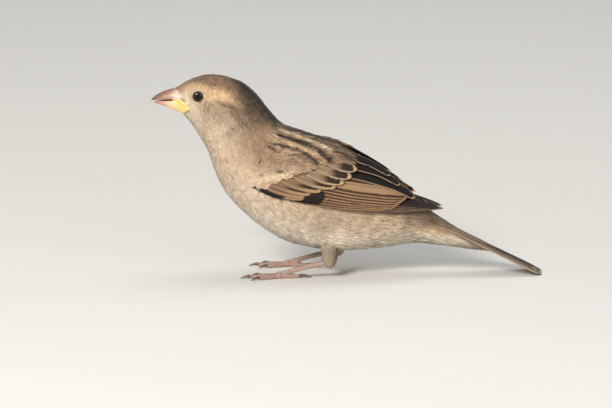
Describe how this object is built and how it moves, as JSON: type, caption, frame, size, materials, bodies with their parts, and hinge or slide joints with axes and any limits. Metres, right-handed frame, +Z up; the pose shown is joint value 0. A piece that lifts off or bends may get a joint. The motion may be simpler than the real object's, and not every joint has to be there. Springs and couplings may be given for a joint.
{
  "type": "house sparrow",
  "caption": "Still life-size model of a house sparrow in brown plumage, crouched on level ground with folded wings and slightly open bill.",
  "frame": {"origin": "on the ground, under the middle of the bird's box", "axes": "+Z up, -X the way the bill points, -Y the bird's left side"},
  "size_m": [0.147, 0.0386, 0.0761],
  "materials": {
    "crown": "soft short feathers",
    "plumage": "soft body feathers",
    "wing": "close feather vanes with pale edges",
    "tail": "close feather vanes",
    "bill": "satin horn",
    "eye": "wet gloss",
    "leg": "scaly skin, satin",
    "claw": "satin horn"
  },
  "bodies": {
    "root": {"bill_lower": "bill", "bill_upper": "bill", "claw_left_hallux": "claw", "claw_left_inner": "claw", "claw_left_middle": "claw", "claw_left_outer": "claw", "claw_right_hallux": "claw", "claw_right_inner": "claw", "claw_right_middle": "claw", "claw_right_outer": "claw", "eye_left": "eye", "eye_right": "eye", "foot_left": "leg", "foot_right": "leg", "head": "crown", "neck": "plumage", "tail": "tail", "tarsus_left": "leg", "tarsus_right": "leg", "thigh_left": "plumage", "thigh_right": "plumage", "trunk": "plumage", "wing_left_coverts": "wing", "wing_left_primaries": "wing", "wing_left_secondaries": "wing", "wing_left_tertials": "wing", "wing_right_coverts": "wing", "wing_right_primaries": "wing", "wing_right_secondaries": "wing", "wing_right_tertials": "wing"}
  },
  "joints": []
}
